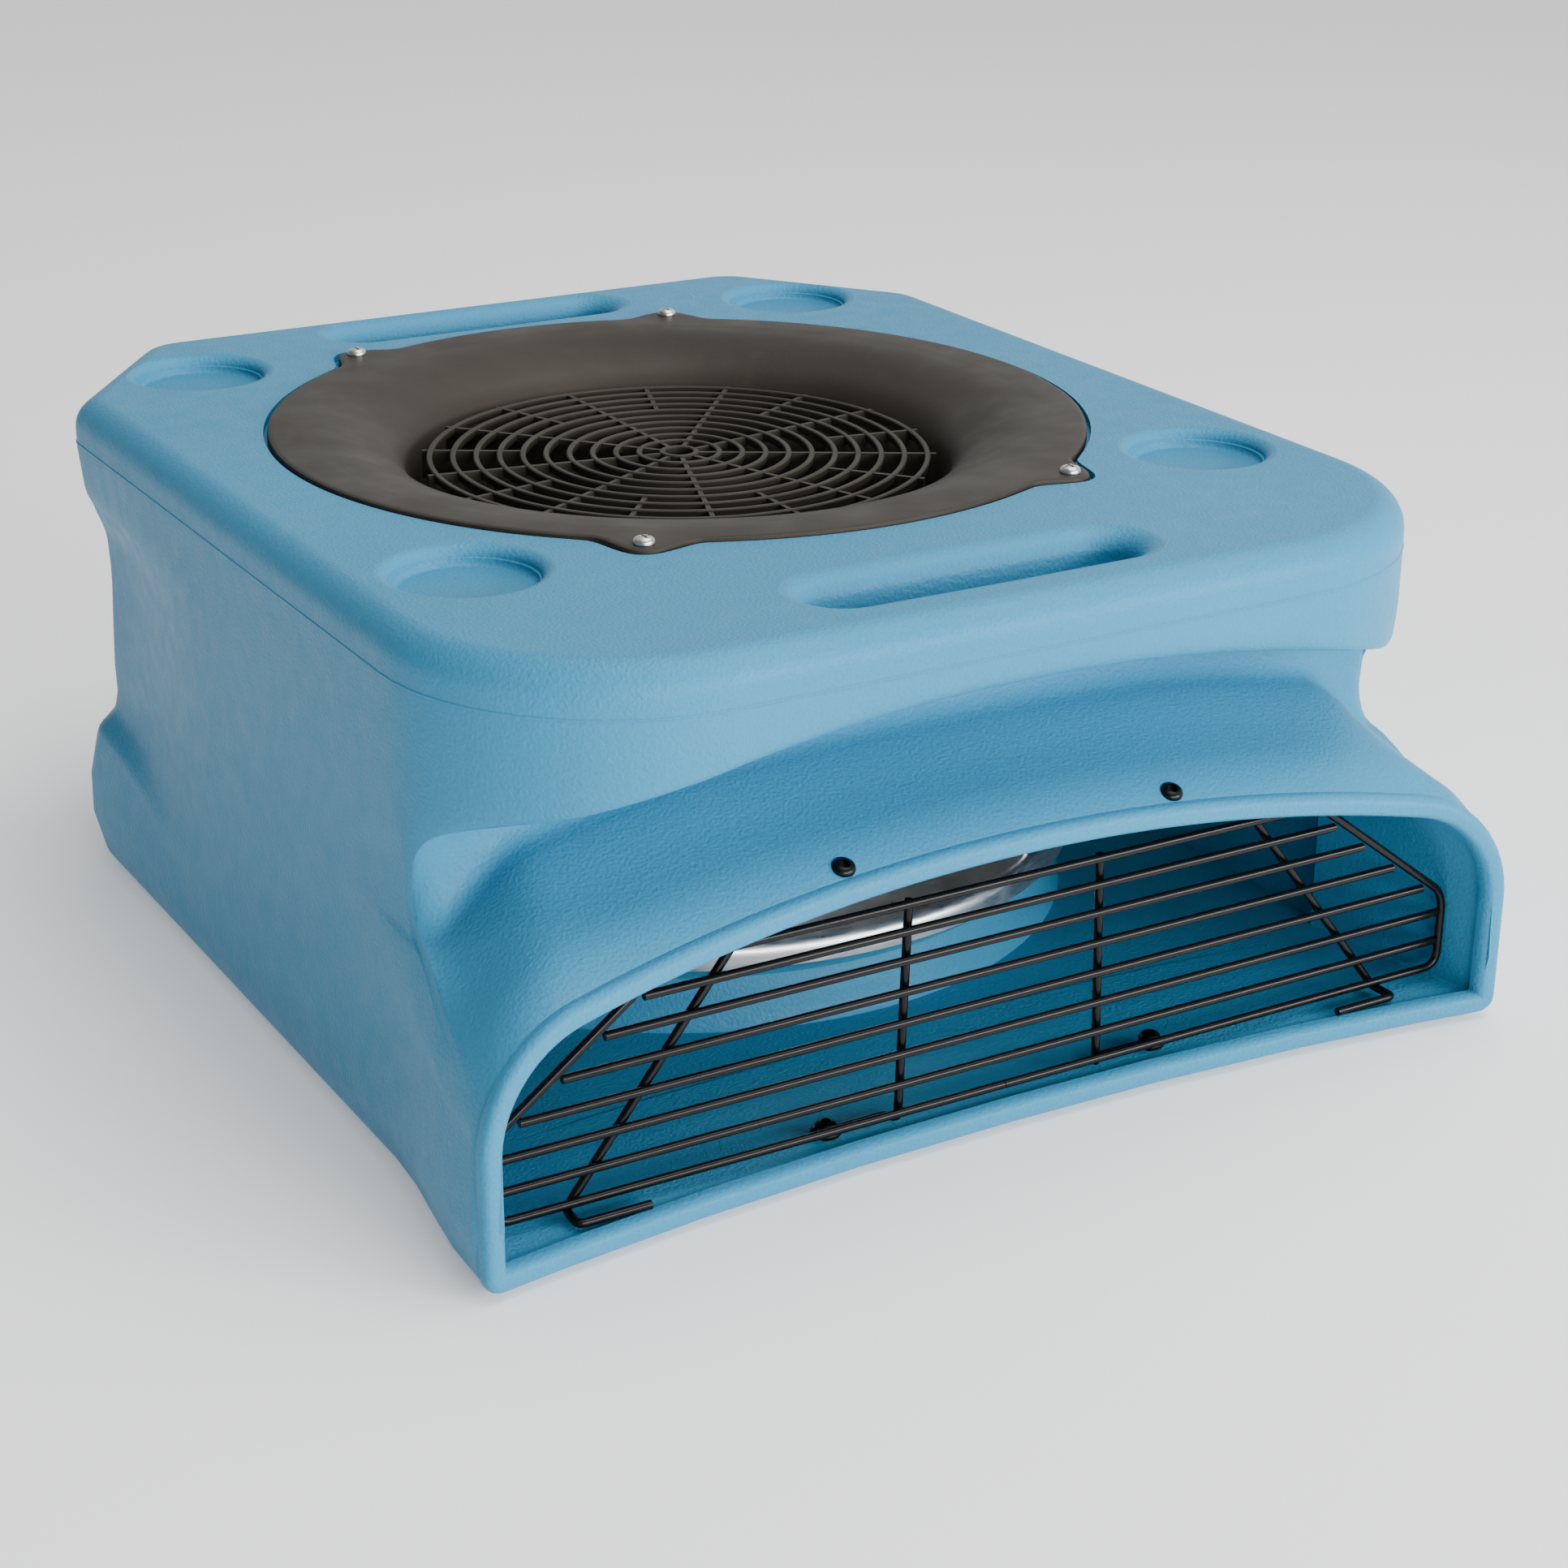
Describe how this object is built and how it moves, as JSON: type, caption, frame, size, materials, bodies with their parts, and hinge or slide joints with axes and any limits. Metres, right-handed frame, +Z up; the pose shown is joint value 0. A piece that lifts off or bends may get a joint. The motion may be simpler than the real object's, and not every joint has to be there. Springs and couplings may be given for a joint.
{
  "type": "floor air mover",
  "caption": "Low-profile floor air mover: moulded slab housing with a guarded round inlet on top, a wheel on an upright motor, and a wide low outlet with a wire grille",
  "frame": {"origin": "centre of the footprint, on the floor", "axes": "+X right seen from the outlet side facing it, +Y from the outlet to the rear, +Z up along the fan axis"},
  "size_m": [0.502, 0.573, 0.2428],
  "materials": {
    "housing": "rotomoulded polyethylene, fine pebble, satin",
    "black": "injection moulded, satin",
    "zinc": "zinc plated",
    "wheel": "pressed sheet",
    "wire": "black powder coat on round wire",
    "motor": "semi-gloss",
    "core": "varnished laminations and resin",
    "plate": "galvanised sheet",
    "switch": "gloss",
    "capacitor": "moulded can",
    "rubber": "moulded rubber"
  },
  "bodies": {
    "frame": {"housing": "housing", "inlet_ring": "black", "finger_guard": "black", "motor_stator": "core", "bearing_lower": "zinc", "bearing_upper": "zinc", "motor_plate": "plate", "motor_flange_spacer": "plate", "grille_frame": "wire", "grille_upright_inner_left": "wire", "grille_upright_inner_right": "wire", "grille_upright_outer_left": "wire", "grille_upright_outer_right": "wire", "nozzle_screw_left": "wire", "nozzle_screw_right": "wire", "floor_screw_left": "wire", "floor_screw_right": "wire", "control_plate": "plate", "switch_body": "switch", "cord_gland": "black", "cord_gland_nut": "black", "run_capacitor": "capacitor", "capacitor_clamp": "plate", "ring_screw_1": "zinc", "motor_screw_1": "zinc", "panel_screw_1": "zinc", "foot_1": "rubber", "ring_screw_2": "zinc", "motor_screw_2": "zinc", "panel_screw_2": "zinc", "foot_2": "rubber", "ring_screw_3": "zinc", "motor_screw_3": "zinc", "panel_screw_3": "zinc", "foot_3": "rubber", "ring_screw_4": "zinc", "motor_screw_4": "zinc", "panel_screw_4": "zinc", "foot_4": "rubber", "grille_wire_1": "wire", "grille_wire_2": "wire", "grille_wire_3": "wire", "grille_wire_4": "wire", "grille_wire_5": "wire", "grille_wire_6": "wire"},
    "wheel": {"impeller_back_plate": "wheel", "impeller_shroud": "wheel", "rotor_can": "motor", "motor_shaft": "zinc", "impeller_blade_1": "wheel", "impeller_blade_2": "wheel", "impeller_blade_3": "wheel", "impeller_blade_4": "wheel", "impeller_blade_5": "wheel", "impeller_blade_6": "wheel", "impeller_blade_7": "wheel"},
    "rocker": {"switch_rocker": "switch"}
  },
  "joints": [
    {"name": "impeller_spin", "type": "hinge", "parent": "frame", "child": "wheel", "pos_m": [0, 0.02455, 0.0625], "axis": [0, 0, 1], "continuous": true},
    {"name": "switch_rock", "type": "hinge", "parent": "frame", "child": "rocker", "pos_m": [-0.022, 0.27615, 0.1245], "axis": [1, 0, 0], "range_deg": [0, 24]}
  ]
}
